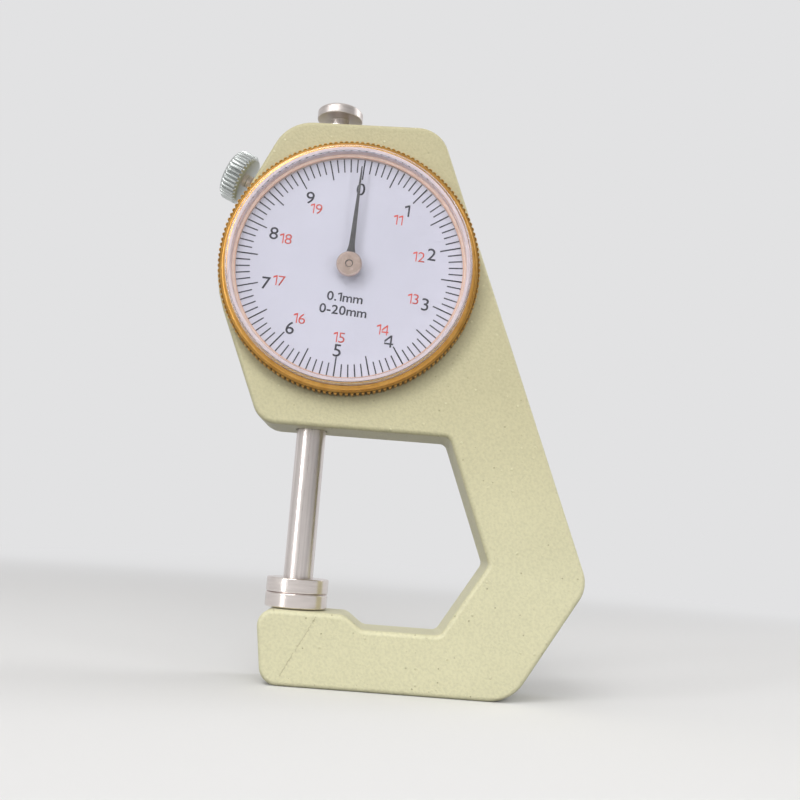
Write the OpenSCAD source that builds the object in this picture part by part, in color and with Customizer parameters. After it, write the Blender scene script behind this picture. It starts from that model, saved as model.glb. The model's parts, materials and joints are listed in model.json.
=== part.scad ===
// Pocket dial gauge for gemstones: a cast C-frame, a sprung spindle and a two-turn dial.
// X runs to the right seen from the dial, Y runs away from the viewer, Z runs up along the spindle.
// The origin lies on the spindle axis, on the flat underside of the lower jaw.

/* [Frame] */
// Thickness of the casting, front to back
frame_t = 12; // [11:0.1:14]
// Rounding of the casting's front and back edges
edge_r = 0.8; // [0.3:0.1:1.5]
// Radius of the round head about the dial axis
head_r = 21.8; // [21.4:0.1:24]
// Height of the head's flat top above the dial axis
head_rise = 25.45; // [24:0.05:28]
// Slope of the head's top, down to the left
top_slope = 1.9; // [0:0.1:4]
// Lean of the left flank above the dial, from the vertical
left_upper_lean = 24.4; // [18:0.1:28]
// Lean of the left flank below the dial, from the vertical
left_lower_lean = 23; // [18:0.1:28]
// Lean of the right flank, from the vertical
right_lean = 20.9; // [16:0.1:24]
// Width of the arm behind the throat
arm_w = 14.1; // [12:0.1:15]
// Width of the heel below the arm
heel_w = 14.8; // [12:0.1:17]
// Slope of the heel, from the horizontal
heel_slope = 58.5; // [50:0.5:65]
// Depth of the throat from the spindle axis
throat_depth = 30.2; // [28:0.1:33]
// Room between the raised contact disc and the throat's ceiling
throat_room = 4.13; // [3:0.01:6]
// Height of the throat's floor above the base
throat_floor_z = 9.4; // [8:0.1:10.5]
// Height of the jaw's seat for the anvil
jaw_top_z = 11.5; // [11:0.1:13]
// Reach of the jaw's seat to the right of the spindle axis
jaw_seat_x = 8.1; // [7:0.1:10]
// Slope of the step from the jaw's seat down to the throat floor
jaw_step_slope = 36; // [25:1:60]
// Reach of the jaw's nose to the left at the base
jaw_nose_x = 4; // [3.5:0.1:6]
// Overhang of the jaw's nose, from the vertical
jaw_nose_lean = 8.3; // [0:0.1:12]
// Thickness of the wall behind the movement
back_wall = 1.6; // [1.4:0.1:2]

/* [Frame corners] */
// Corner between the base and the heel
base_right_r = 6.5; // [3:0.5:8]
// Corner between the heel and the right flank
heel_r = 5; // [3:0.5:8]
// Corner at the right end of the head's top
top_right_r = 5.5; // [3:0.5:7]
// Corner at the left end of the head's top
top_left_r = 7; // [3:0.5:8]
// Corner between the left flank and the throat's ceiling
head_low_r = 4; // [2:0.5:5]
// Inner corners of the throat
throat_r = 1.4; // [1:0.1:3]
// Corners of the step beside the jaw's seat
step_r = 2.2; // [1:0.1:2.5]
// Upper corner of the jaw's nose
nose_top_r = 2.5; // [1.5:0.1:3.5]
// Lower corner of the jaw's nose
nose_low_r = 3; // [1.5:0.1:3.5]

/* [Spindle] */
// Diameter of the spindle
spindle_d = 4.8; // [4.4:0.1:5]
// Height of the closed contact plane above the base
contact_z = 14; // [13.9:0.1:16]
// Diameter of both contact discs
disc_d = 10; // [8:0.5:11]
// Thickness of each contact disc
disc_t = 2.35; // [1.5:0.05:2.35]
// Bevel at the rims of the contact discs
disc_bevel = 0.15; // [0.05:0.05:0.4]
// Travel of the spindle, which is the measuring range
travel = 20; // [10:0.5:20]
// Height that the spindle's top end stands above the head
spindle_proud = 1.55; // [0.6:0.05:2]
// Outer diameter of the spindle bushes
bush_d = 6.6; // [6.4:0.1:7]
// Length of the upper bush
upper_bush_len = 2.6; // [2:0.1:3.2]
// Length of the lower bush
lower_bush_len = 3.1; // [2:0.1:4]
// Thickness of the casting's lip under the lower bush
bush_lip = 0.8; // [0.5:0.1:1.2]
// Diameter of the anvil's shank
anvil_shank_d = 4; // [3:0.5:5]
// Length of the anvil's shank in the jaw
anvil_shank_len = 7; // [4:0.5:8]

/* [Lifting knob] */
// Diameter of the lifting knob
knob_d = 7.9; // [6:0.1:10]
// Thickness of the lifting knob
knob_t = 1.75; // [1:0.05:4]
// Bevel around the top of the knob
knob_bevel = 0.35; // [0.1:0.05:0.6]
// Diameter of the knob's neck
knob_neck_d = 3.2; // [2.6:0.1:4]
// Length of the knob's neck above the spindle
knob_neck_len = 1.4; // [0.6:0.1:3]

/* [Movement] */
// Distance of the dial axis to the right of the spindle axis
dial_x = 4.3; // [4.2:0.05:4.5]
// Gap between the lower bush and the rack of the closed gauge
rack_gap = 0.4; // [0.3:0.1:1]
// Length of the rack past the pinion's axis at either end of the travel
rack_margin = 2.2; // [2.2:0.1:3]
// Teeth on the pointer's pinion
pinion_teeth = 16; // [14:1:18]
// Travel of the spindle for one turn of the pointer
travel_per_turn = 10; // [9.8:0.1:10.2]
// Play between rack and pinion at the pitch line
backlash = 0.05; // [0.03:0.01:0.1]
// Pressure angle of the teeth
pressure_angle = 20; // [18:0.5:22]
// Width of the rack strip, front to back
rack_w = 3; // [2:0.1:3.4]
// Radius of the movement pocket about the dial axis
pocket_r = 18; // [17.8:0.1:18.2]
// Radius from the dial axis to the bridge screws
bridge_screw_r = 13.5; // [12:0.1:14]
// Thickness of the bridge plate
bridge_t = 1; // [0.8:0.1:1.2]
// Height of the bridge's back face in front of the mid-plane
bridge_d = 3.7; // [3.4:0.1:3.8]
// Diameter of the pointer's staff
staff_d = 1.2; // [1:0.05:1.4]
// Thickness of the guide rail on the pocket floor
rail_t = 1.2; // [0.8:0.1:1.3]
// Diameter of the guide pin
guide_pin_d = 1.2; // [0.8:0.1:1.4]
// Diameter of the pins that hold the return spring
spring_pin_d = 1; // [0.8:0.1:1.2]
// Mean radius of the return spring's coils
spring_r = 0.8; // [0.6:0.05:0.85]
// Wire diameter of the return spring
spring_wire_d = 0.26; // [0.2:0.02:0.3]
// Coils of the return spring
spring_coils = 11; // [6:1:12]
// Turns of the hairspring
hair_turns = 5; // [3:1:6]
// Thickness of the hairspring's ribbon
hair_t = 0.15; // [0.1:0.01:0.25]

/* [Bezel and crystal] */
// Diameter over the bezel's knurl
bezel_d = 42.6; // [42:0.1:43]
// Grooves around the bezel's knurl
bezel_grooves = 150; // [100:1:180]
// Depth of the bezel's knurl
bezel_knurl_depth = 0.28; // [0.15:0.01:0.4]
// Height of the bezel's knurled band
bezel_band_h = 2.1; // [1.4:0.1:2.2]
// Outer diameter of the bezel's smooth lip
bezel_lip_d = 41.5; // [41.2:0.1:41.8]
// Inner diameter of the bezel's lip around the crystal
bezel_mouth_d = 40; // [39.8:0.1:40.2]
// Height of the bezel's lip in front of the casting
bezel_h = 2.7; // [2.6:0.1:3.2]
// Diameter of the bezel's spigot in the casting
spigot_d = 38.2; // [38:0.1:38.4]
// Length of the spigot in the casting
spigot_len = 2.05; // [1.8:0.05:2.05]
// Height of the crystal's flat top in front of the lip
crystal_rise = 1.5; // [1.4:0.1:2]
// Thickness of the crystal
crystal_t = 0.9; // [0.8:0.1:1.2]
// Rounding of the crystal's shoulder
crystal_round = 0.4; // [0.3:0.05:0.8]
// Thickness of the dial plate
dial_t = 0.5; // [0.3:0.05:0.6]

/* [Pointer] */
// Length of the pointer from its axis to the tip
pointer_len = 16.9; // [12:0.1:17.2]
// Width of the pointer where its flare ends
pointer_root_w = 0.88; // [0.6:0.02:1.2]
// Length of the flare from the axis
pointer_flare_len = 4.1; // [3:0.1:5]
// Radius of the flare's hollow sides
pointer_flare_r = 6.8; // [5.5:0.1:9]
// Width of the pointer at its tip
pointer_tip_w = 0.2; // [0.1:0.02:0.4]
// Thickness of the pointer
pointer_t = 0.3; // [0.2:0.05:0.5]
// Diameter of the pointer's hub
hub_d = 4.2; // [3:0.1:5]
// Angle of the pointer when the gauge is closed, clockwise from the vertical
pointer_rest = 2.4; // [0:0.1:10]

/* [Clamp screw] */
// Diameter over the clamp screw's knurl
clamp_head_d = 8.9; // [7:0.1:10]
// Thickness of the clamp screw's head
clamp_head_t = 3.3; // [2:0.1:5]
// Grooves around the clamp screw's head
clamp_grooves = 36; // [24:1:56]
// Depth of the clamp screw's knurl
clamp_knurl_depth = 0.3; // [0.15:0.05:0.4]
// Gap between the head and the casting with the spindle free
clamp_head_gap = 2.3; // [1:0.1:4]
// Diameter of the clamp screw's thread
clamp_thread_d = 2.5; // [2:0.1:3]
// Diameter of the brass plug that grips the spindle
clamp_plug_d = 2.3; // [1.6:0.1:2.4]
// Length of the plug inside the casting
clamp_plug_seat = 2; // [1:0.1:2.5]
// Height above the dial axis at which the clamp's axis meets the spindle axis
clamp_rise = 9.2; // [8:0.1:10]
// Gap between the plug and the spindle when it is free
clamp_gap = 0.12; // [0.12:0.01:0.2]

/* [Fits] */
// Radial play of shafts in their bushes
shaft_play = 0.02; // [0.01:0.005:0.05]
// Radial gap around the spindle where it leaves the casting
lip_play = 0.25; // [0.15:0.05:0.4]
// Radial play of the bezel in the casting
bezel_play = 0.1; // [0.05:0.01:0.1]
// Radial play of threads that are drawn plain
thread_play = 0.05; // [0.02:0.01:0.1]
// Gap left between pieces that pass one another
clear = 0.3; // [0.2:0.05:0.35]
// Film left between the closed contact discs
disc_film = 0.02; // [0.01:0.01:0.05]

/* [Hidden] */
$fn = 72;
eps = 0.01;
over = 1;

// Paint, metal and dial colours
paint_green = [0.84, 0.84, 0.68];
steel = [0.78, 0.77, 0.76];
gold = [0.86, 0.64, 0.24];
brass = [0.76, 0.62, 0.33];
spring_steel = [0.55, 0.56, 0.58];
dial_white = [0.92, 0.92, 0.96];
needle_grey = [0.27, 0.27, 0.29];
crystal_tint = [0.93, 0.94, 0.97, 0.35];

// Depths are measured forwards from the casting's mid-plane
face_d = frame_t / 2;
floor_d = back_wall - frame_t / 2;
fillet_steps = 4;
cutter_lap = 0.5;
arc_step = 8;

// Heights up the gauge: the throat clears the raised disc, and the dial axis clears the rack's travel
spindle_r = spindle_d / 2;
spindle_low_z = contact_z + disc_film + disc_t;
throat_top_z = spindle_low_z + travel + throat_room;
rack_low_z = throat_top_z + bush_lip + lower_bush_len + rack_gap;
dial_z = rack_low_z + rack_margin + travel;
rack_high_z = dial_z + rack_margin;
head_top_z = dial_z + head_rise;
spindle_top_z = head_top_z + spindle_proud;
clamp_z = dial_z + clamp_rise;

// Outline of the casting: straight edges, anticlockwise seen from the dial
head_c = [dial_x, dial_z];
function dirv(a) = [cos(a), sin(a)];
function head_edge(a) = [head_c + head_r * dirv(a - 90), a];
function beside(edge, w) = [edge[0] - w * dirv(edge[1] - 90), edge[1] + 180];
function crossing(e, f) =
    let (u = dirv(e[1]), v = dirv(f[1]), w = f[0] - e[0])
    e[0] + u * (w.x * v.y - w.y * v.x) / (u.x * v.y - u.y * v.x);
right_edge = head_edge(90 + right_lean);
arm_edge = beside(right_edge, arm_w);
knee = crossing(arm_edge, [[throat_depth, 0], 90]);
throat_low_edge = [knee, 180 + heel_slope];
heel_edge = beside(throat_low_edge, heel_w);
edges = [
    [[0, 0], 0],
    heel_edge,
    right_edge,
    [[0, head_top_z], 180 + top_slope],
    head_edge(270 - left_upper_lean),
    head_edge(270 + left_lower_lean),
    [[0, throat_top_z], 360],
    arm_edge,
    throat_low_edge,
    [[0, throat_floor_z], 180],
    [[jaw_seat_x, jaw_top_z], 180 - jaw_step_slope],
    [[0, jaw_top_z], 180],
    [[-jaw_nose_x, 0], 270 + jaw_nose_lean]
];
corner_radii = [
    base_right_r, heel_r, top_right_r, top_left_r, head_r, head_low_r, throat_r, throat_r, throat_r,
    step_r, step_r, nose_top_r, nose_low_r
];
function turn(a, b) = (b - a + 540) % 360 - 180;
function inset(edge, w) = [edge[0] - w * dirv(edge[1] - 90), edge[1]];
function corner(e, f, radius, w) =
    let (t = turn(e[1], f[1]), side = sign(t), r = radius - side * w)
    let (tip = crossing(inset(e, w), inset(f, w)), n = ceil(abs(turn(e[1], f[1])) / arc_step))
    let (centre = tip - r * tan(abs(t) / 2) * dirv(e[1]) + side * r * dirv(e[1] + 90))
    [for (k = [0:n]) centre + r * dirv(e[1] - side * 90 + t * k / n)];
function outline(w) = [
    for (i = [0:len(edges) - 1])
    each corner(edges[i], edges[(i + 1) % len(edges)], corner_radii[i], w)
];

// Tooth forms of the rack and the pinion
pitch_r = travel_per_turn / (2 * PI);
tooth_pitch = travel_per_turn / pinion_teeth;
addendum = tooth_pitch / PI;
root_ratio = 1.25;
dedendum = root_ratio * addendum;
pinion_tip_r = pitch_r + addendum;
pinion_root_r = pitch_r - dedendum;
base_r = pitch_r * cos(pressure_angle);
rack_pitch_x = dial_x - pitch_r;
rack_tip_x = rack_pitch_x + addendum;
rack_root_x = rack_pitch_x - dedendum;
rack_flat_depth = 1.1;
rack_flat_x = spindle_r - rack_flat_depth;
rack_half_tooth = (tooth_pitch - backlash) / 4;
rack_first = floor((rack_low_z - dial_z) / tooth_pitch);
rack_last = ceil((rack_high_z - dial_z) / tooth_pitch);
rack_lean = tan(pressure_angle);
rack_root_half = rack_half_tooth + dedendum * rack_lean;
rack_tip_half = rack_half_tooth - addendum * rack_lean;
pinion_overhang = 0.2;
flank_radii = [base_r, (base_r + pitch_r) / 2, pitch_r, (pitch_r + pinion_tip_r) / 2, pinion_tip_r];
flank_radii_down = [for (k = [len(flank_radii) - 1:-1:0]) flank_radii[k]];
function involute(r) = let (a = acos(min(1, base_r / r))) tan(a) * 180 / PI - a;
function half_angle(r) =
    (tooth_pitch - backlash) / 4 / pitch_r * 180 / PI + involute(pitch_r) - involute(r);

// Places of the movement's pieces
disc_stud_r = 1.4;
disc_stud_len = 4;
disc_undercut = 1.5;
knob_stud_r = 1.1;
knob_stud_len = 5;
knob_edge = 0.1;
wall_grip = 1;
guide_pin_z = dial_z - 12.5;
guide_pin_reach = frame_t / 2 - back_wall - clear;
guide_play = 0.05;
rail_x = 2;
rail_end = 2.9;
rail_slot_half = guide_pin_d / 2 + guide_play;
rail_slot_low_z = guide_pin_z - guide_pin_d / 2 - clear;
rail_slot_high_z = guide_pin_z + travel + guide_pin_d / 2 + clear;
rail_low_z = rail_slot_low_z - rail_end;
rail_high_z = rail_slot_high_z + rail_end;
rail_screw_in = 1.5;
rail_screw_heights = [rail_low_z + rail_screw_in, rail_high_z - rail_screw_in];
rail_screw_r = 0.6;
rail_head_r = 1.05;
rail_head_h = 0.6;
screw_slot_w = 0.4;
screw_slot_depth = 0.4;
spring_reach = 4.6;
spring_turn = 135;
spring_xy = spring_reach * dirv(spring_turn);
spring_post_z = dial_z - 15;
spring_pin_z = dial_z - 6;
hook_play = 0.04;
hook_r = spring_pin_d / 2 + spring_wire_d / 2 + hook_play;
hook_lead = 0.7;
spring_sides = 6;
staff_r = staff_d / 2;
pivot_r = 0.4;
end_play = 0.1;
rear_bush_r = 1.4;
rear_bush_len = 1.6;
front_bush_r = 1.6;
front_bush_proud = 0.1;
boss_r = 2.2;
bridge_arm_angles = [40, 180, 320];
bridge_arm_w = 5;
bridge_screw_shank_r = 0.8;
bridge_screw_depth = 4;
bridge_screw_end = 0.5;
bridge_head_r = 1.7;
bridge_head_h = 0.9;
hair_gap = 0.35;
hair_d = bridge_d + bridge_t + hair_gap;
hair_h = 0.6;
hair_play = 0.08;
collet_r = 1.2;
collet_lap = 0.05;
hair_in_r = collet_r + hair_play;
stud_r = 0.45;
stud_reach = 4.3;
hair_out_r = stud_reach - stud_r - hair_t - hair_play;
bridge_hub_r = stud_reach + 2 * stud_r;

// Places of the bezel's pieces
bezel_r = bezel_d / 2;
bezel_gap = 0.15;
bezel_back_d = face_d + bezel_gap;
bezel_front_d = face_d + bezel_h;
bezel_lip_r = bezel_lip_d / 2;
bezel_lip_h = bezel_h - bezel_gap - bezel_band_h;
bezel_lip_round = (bezel_lip_d - bezel_mouth_d) / 4;
cove_r = 0.15;
cove_out = 0.01;
spigot_r = spigot_d / 2;
spigot_end_d = face_d - spigot_len;
spigot_wall = 1.5;
spigot_bore_r = spigot_r - spigot_wall;
counterbore_d = spigot_end_d - bezel_gap;
dial_gap = 0.4;
dial_back_d = face_d + dial_gap;
dial_front_d = dial_back_d + dial_t;
dial_lap = 0.3;
dial_seat_r = spigot_r + dial_lap;
dial_hole_r = 1.6;
crystal_sink = 0.95;
crystal_foot_d = bezel_front_d - crystal_sink;
crystal_foot_t = 0.45;
crystal_foot_lap = 0.2;
crystal_foot_r = bezel_mouth_d / 2 + crystal_foot_lap;
crystal_play = 0.05;
crystal_r = bezel_mouth_d / 2 - crystal_play;
crystal_top_d = bezel_front_d + crystal_rise;
crystal_wall = 0.95;
crystal_round_step = 0.2;
ring_w = 0.9;
snap_r = 0.25;
snap_play = 0.1;
snap_gap_angle = 20;
snap_turn = 100;
snap_mid_r = spigot_r + bezel_play / 2;
snap_d = (counterbore_d + face_d) / 2;
groove_half = snap_r + snap_play;
pointer_gap = 1.1;
pointer_d = dial_front_d + pointer_gap;
hub_front_d = crystal_top_d - crystal_t - clear;
hub_pipe_len = 0.3;
hub_back_d = pointer_d - hub_pipe_len;
hub_r = hub_d / 2;
hub_pipe_r = 1;
hub_bevel = 0.2;
hub_recess = 0.15;
staff_step = 0.1;
staff_tip_r = staff_r - staff_step;
pointer_boss_r = hub_r * 0.75;
flare_steps = 6;

// The clamp's axis points out of the casting, square to the left upper flank
clamp_out = 180 - left_upper_lean;
clamp_axis = dirv(clamp_out);
clamp_end = [0, clamp_z];
clamp_wall_s = ((head_c - clamp_end) * clamp_axis) + head_r;
clamp_pocket_s =
    let (m = (head_c - clamp_end) * clamp_axis, w = head_c - clamp_end)
    m + sqrt(m * m - w * w + pocket_r * pocket_r);
clamp_tip_s = clamp_pocket_s + clamp_plug_seat;
clamp_plane_x = -spindle_r - clamp_gap;
clamp_head_s = clamp_wall_s + clamp_head_gap;
clamp_bevel = 0.25;
clamp_neck_step = 0.3;
thread_proud = 0.6;

// Draws children towards the viewer from a plane in front of the mid-plane
module facing(d) {
    translate([0, -d, 0]) rotate([90, 0, 0]) children();
}

// Draws children about the dial axis, towards the viewer
module on_dial(d = 0) {
    translate([dial_x, -d, dial_z]) rotate([90, 0, 0]) children();
}

// Draws children along the clamp's axis, outwards from the spindle axis
module on_clamp(s = 0) {
    translate([0, 0, clamp_z]) rotate([0, -90 + left_upper_lean, 0]) translate([0, 0, s]) children();
}

module ring(r_out, r_in, h) {
    difference() {
        cylinder(r = r_out, h = h);
        translate([0, 0, -eps]) cylinder(r = r_in, h = h + 2 * eps);
    }
}

// Cylinder with a bevel at both rims
module bevelled(r, h, bevel) {
    rotate_extrude() polygon([
        [0, 0], [r - bevel, 0], [r, bevel], [r, h - bevel], [r - bevel, h], [0, h]
    ]);
}

// Straight knurl: flat-topped teeth with sloping flanks
module knurl(r, depth, count, h) {
    pitch = 360 / count;
    linear_extrude(h) polygon([
        for (i = [0:count - 1])
        each [
            r * dirv((i - 0.18) * pitch), r * dirv((i + 0.18) * pitch),
            (r - depth) * dirv((i + 0.39) * pitch), (r - depth) * dirv((i + 0.61) * pitch)
        ]
    ]);
}

// Ring-shaped cutter that rounds the casting's front or back edge
module edge_cutter(front) {
    bends = [for (k = [0:fillet_steps]) 90 * k / fillet_steps];
    loop = concat(
        [for (a = bends) [edge_r * (1 - sin(a)), face_d - edge_r * (1 - cos(a))]],
        [[-cutter_lap, face_d - edge_r], [-cutter_lap, face_d + cutter_lap]],
        [[edge_r, face_d + cutter_lap]]
    );
    n = len(outline(0));
    m = len(loop);
    points = [
        for (level = loop)
        for (p = outline(level[0]))
        [p.x, -level[1], p.y]
    ];
    bands = [
        for (k = [0:m - 1])
        for (i = [0:n - 1])
        let (j = (i + 1) % n, l = (k + 1) % m)
        [k * n + i, l * n + i, l * n + j, k * n + j]
    ];
    mirror([0, front ? 0 : 1, 0]) polyhedron(points, bands);
}

module casting() {
    difference() {
        facing(-face_d) linear_extrude(frame_t) polygon(outline(0));
        edge_cutter(true);
        edge_cutter(false);
    }
}

// Bores for the bridge screws, or the bosses around them
module at_bridge_screws(d) {
    for (a = bridge_arm_angles)
        on_dial(d) translate(bridge_screw_r * dirv(a)) children();
}

// Places of the rail screws, looking out of the pocket floor
module at_rail_screws() {
    for (z = rail_screw_heights)
        translate([0, -floor_d, z]) rotate([90, 0, 0]) children();
}

module pocket() {
    difference() {
        on_dial(floor_d) cylinder(r = pocket_r, h = frame_t);
        at_bridge_screws(floor_d) cylinder(r = boss_r, h = bridge_d - floor_d);
    }
    on_dial(counterbore_d) cylinder(r = spigot_r + bezel_play, h = frame_t);
    on_dial(snap_d - groove_half) cylinder(r = snap_mid_r + snap_r + snap_play, h = 2 * groove_half);
}

module frame() {
    color(paint_green) difference() {
        casting();
        pocket();
        translate([0, 0, throat_top_z - over])
            cylinder(r = spindle_r + lip_play, h = bush_lip + 2 * over);
        translate([0, 0, throat_top_z + bush_lip])
            cylinder(d = bush_d, h = head_top_z - throat_top_z - bush_lip + over);
        translate([0, 0, jaw_top_z - anvil_shank_len])
            cylinder(d = anvil_shank_d, h = anvil_shank_len + over);
        on_dial(floor_d - wall_grip) cylinder(r = rear_bush_r, h = frame_t / 2);
        at_bridge_screws(bridge_d - bridge_screw_depth)
            cylinder(r = bridge_screw_shank_r, h = bridge_screw_depth + over);
        at_rail_screws() translate([0, 0, -wall_grip]) cylinder(r = rail_screw_r, h = wall_grip + over);
        translate([spring_xy.x, -floor_d - over, spring_post_z]) rotate([-90, 0, 0])
            cylinder(d = spring_pin_d, h = wall_grip + over);
        on_clamp(clamp_pocket_s - 3 * over) cylinder(d = clamp_plug_d + 2 * thread_play, h = frame_t);
        on_clamp(clamp_tip_s - over) cylinder(d = clamp_thread_d + 2 * thread_play, h = frame_t);
    }
}

module bush(z, h) {
    color(brass) translate([0, 0, z]) ring(bush_d / 2, spindle_r + shaft_play, h);
}

module upper_bush() {
    sink = bush_d / 2 * tan(top_slope);
    bush(head_top_z - sink - upper_bush_len, upper_bush_len);
}

module lower_bush() {
    bush(throat_top_z + bush_lip, lower_bush_len);
}

module anvil() {
    color(steel) union() {
        translate([0, 0, contact_z - disc_t]) bevelled(disc_d / 2, disc_t, disc_bevel);
        translate([0, 0, jaw_top_z])
            cylinder(r = disc_d / 2 - disc_undercut, h = contact_z - disc_t - jaw_top_z + eps);
        translate([0, 0, jaw_top_z - anvil_shank_len])
            cylinder(d = anvil_shank_d, h = anvil_shank_len + eps);
    }
}

module contact_disc() {
    color(steel) union() {
        translate([0, 0, contact_z + disc_film]) bevelled(disc_d / 2, disc_t, disc_bevel);
        translate([0, 0, spindle_low_z - eps]) cylinder(r = disc_stud_r, h = disc_stud_len);
    }
}

module spindle() {
    rack_len = rack_high_z - rack_low_z;
    color(steel) difference() {
        translate([0, 0, spindle_low_z]) cylinder(r = spindle_r, h = spindle_top_z - spindle_low_z);
        translate([rack_flat_x, -spindle_d, rack_low_z]) cube([spindle_d, 2 * spindle_d, rack_len]);
        translate([0, 0, spindle_low_z - over]) cylinder(r = disc_stud_r, h = disc_stud_len + over - eps);
        translate([0, 0, spindle_top_z - knob_stud_len])
            cylinder(r = knob_stud_r, h = knob_stud_len + over);
        translate([0, 0, guide_pin_z]) rotate([-90, 0, 0]) cylinder(d = guide_pin_d, h = spindle_d);
        translate([0, 0, spring_pin_z]) rotate([0, 90, spring_turn])
            cylinder(d = spring_pin_d, h = spindle_d);
    }
}

module rack() {
    comb = [
        for (i = [rack_first:rack_last])
        let (z = dial_z + i * tooth_pitch)
        if (z - rack_root_half > rack_low_z && z + rack_root_half < rack_high_z)
        each [
            [rack_root_x, z - rack_root_half], [rack_tip_x, z - rack_tip_half],
            [rack_tip_x, z + rack_tip_half], [rack_root_x, z + rack_root_half]
        ]
    ];
    color(steel) facing(-rack_w / 2) linear_extrude(rack_w) polygon(concat(
        [[rack_flat_x, rack_low_z], [rack_root_x, rack_low_z]],
        comb,
        [[rack_root_x, rack_high_z], [rack_flat_x, rack_high_z]]
    ));
}

module lift_knob() {
    r = knob_d / 2;
    neck_r = knob_neck_d / 2;
    top = knob_neck_len + knob_t;
    color(steel) translate([0, 0, spindle_top_z]) rotate_extrude() polygon([
        [0, eps - knob_stud_len], [knob_stud_r, eps - knob_stud_len], [knob_stud_r, 0], [neck_r, 0],
        [neck_r, knob_neck_len], [r - knob_edge, knob_neck_len], [r, knob_neck_len + knob_edge],
        [r, top - knob_bevel], [r - knob_bevel, top], [0, top]
    ]);
}

module guide_pin() {
    color(steel) translate([0, 0, guide_pin_z]) rotate([-90, 0, 0])
        cylinder(d = guide_pin_d, h = guide_pin_reach);
}

module spring_pin() {
    color(steel) translate([0, 0, spring_pin_z]) rotate([0, 90, spring_turn])
        cylinder(d = spring_pin_d, h = spring_reach + spring_r);
}

module movement_bridge() {
    bore_h = bridge_t + 2 * over;
    color(brass) difference() {
        on_dial(bridge_d) linear_extrude(bridge_t) union() {
            circle(r = bridge_hub_r);
            for (a = bridge_arm_angles) {
                rotate(a) translate([0, -bridge_arm_w / 2]) square([bridge_screw_r, bridge_arm_w]);
                translate(bridge_screw_r * dirv(a)) circle(d = bridge_arm_w);
            }
        }
        on_dial(bridge_d - over) cylinder(r = front_bush_r, h = bore_h);
        on_dial(bridge_d - over) translate([0, stud_reach]) cylinder(r = stud_r, h = bore_h);
        at_bridge_screws(bridge_d - over) cylinder(r = bridge_screw_shank_r, h = bore_h);
    }
}

// Screw with its head standing on the plane z = 0
module slotted_screw(head_r, head_h, shank_r, shank_len) {
    difference() {
        union() {
            cylinder(r = head_r, h = head_h);
            translate([0, 0, -shank_len]) cylinder(r = shank_r, h = shank_len + eps);
        }
        translate([-head_r, -screw_slot_w / 2, head_h - screw_slot_depth])
            cube([2 * head_r, screw_slot_w, head_h]);
    }
}

module bridge_screws() {
    shank_len = bridge_t + bridge_screw_depth - bridge_screw_end;
    color(steel) at_bridge_screws(bridge_d + bridge_t)
        slotted_screw(bridge_head_r, bridge_head_h, bridge_screw_shank_r, shank_len);
}

module rear_bush() {
    color(brass) on_dial(floor_d - wall_grip) ring(rear_bush_r, pivot_r + shaft_play, rear_bush_len);
}

module front_bush() {
    color(brass) on_dial(bridge_d)
        ring(front_bush_r, staff_r + shaft_play, bridge_t + front_bush_proud);
}

module guide_rail() {
    slot_len = rail_slot_high_z - rail_slot_low_z;
    color(brass) difference() {
        translate([-rail_x, -floor_d - rail_t, rail_low_z])
            cube([2 * rail_x, rail_t, rail_high_z - rail_low_z]);
        translate([-rail_slot_half, -floor_d - rail_t - over, rail_slot_low_z])
            cube([2 * rail_slot_half, rail_t + 2 * over, slot_len]);
        at_rail_screws() translate([0, 0, -over]) cylinder(r = rail_screw_r, h = rail_t + 2 * over);
        at_rail_screws() translate([0, 0, rail_t - rail_head_h])
            cylinder(r = rail_head_r, h = rail_head_h + over);
    }
}

module rail_screws() {
    sunk = rail_t - rail_head_h;
    color(steel) at_rail_screws() translate([0, 0, sunk])
        slotted_screw(rail_head_r, rail_head_h, rail_screw_r, sunk + wall_grip);
}

module spring_post() {
    color(steel) translate([spring_xy.x, spring_xy.y - spring_r, spring_post_z]) rotate([-90, 0, 0])
        cylinder(d = spring_pin_d, h = wall_grip - floor_d - spring_xy.y + spring_r);
}

// Round wire swept along a path of points
function unit(v) = v / norm(v);
module wire(path, r, sides) {
    n = len(path);
    tangents = [for (i = [0:n - 1]) unit(path[min(i + 1, n - 1)] - path[max(i - 1, 0)])];
    points = [
        for (i = [0:n - 1])
        let (t = tangents[i], u = unit(cross(t, [0.31, 0.83, 0.46])), v = cross(t, u))
        for (k = [0:sides - 1])
        path[i] + r * cos(360 * k / sides) * u + r * sin(360 * k / sides) * v
    ];
    skin = [
        for (i = [0:n - 2])
        for (k = [0:sides - 1])
        let (m = (k + 1) % sides)
        each [
            [i * sides + k, (i + 1) * sides + m, i * sides + m],
            [i * sides + k, (i + 1) * sides + k, (i + 1) * sides + m]
        ]
    ];
    first = [for (k = [0:sides - 1]) k];
    last = [for (k = [sides - 1:-1:0]) (n - 1) * sides + k];
    polyhedron(points, concat(skin, [first, last]));
}

module return_spring() {
    coil_low = spring_post_z + hook_r + hook_lead;
    coil_high = spring_pin_z - hook_r - hook_lead;
    per_turn = 10;
    n = spring_coils * per_turn;
    centre = [spring_xy.x, spring_xy.y, 0];
    across = [cos(spring_turn - 90), sin(spring_turn - 90), 0];
    low_hook = [
        for (a = [-200:25:90])
        centre + [hook_r * cos(a), 0, spring_post_z + hook_r * sin(a)]
    ];
    coil = [
        for (i = [0:n])
        let (taper = min(1, 2 * i / per_turn, 2 * (n - i) / per_turn), a = 360 * i / per_turn)
        let (r = spring_r * taper, z = coil_low + (coil_high - coil_low) * i / n)
        centre + [r * cos(a), r * sin(a), z]
    ];
    high_hook = [
        for (a = [-90:25:200])
        centre + hook_r * cos(a) * across + [0, 0, spring_pin_z + hook_r * sin(a)]
    ];
    color(spring_steel) wire(concat(low_hook, coil, high_hook), spring_wire_d / 2, spring_sides);
}

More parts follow.
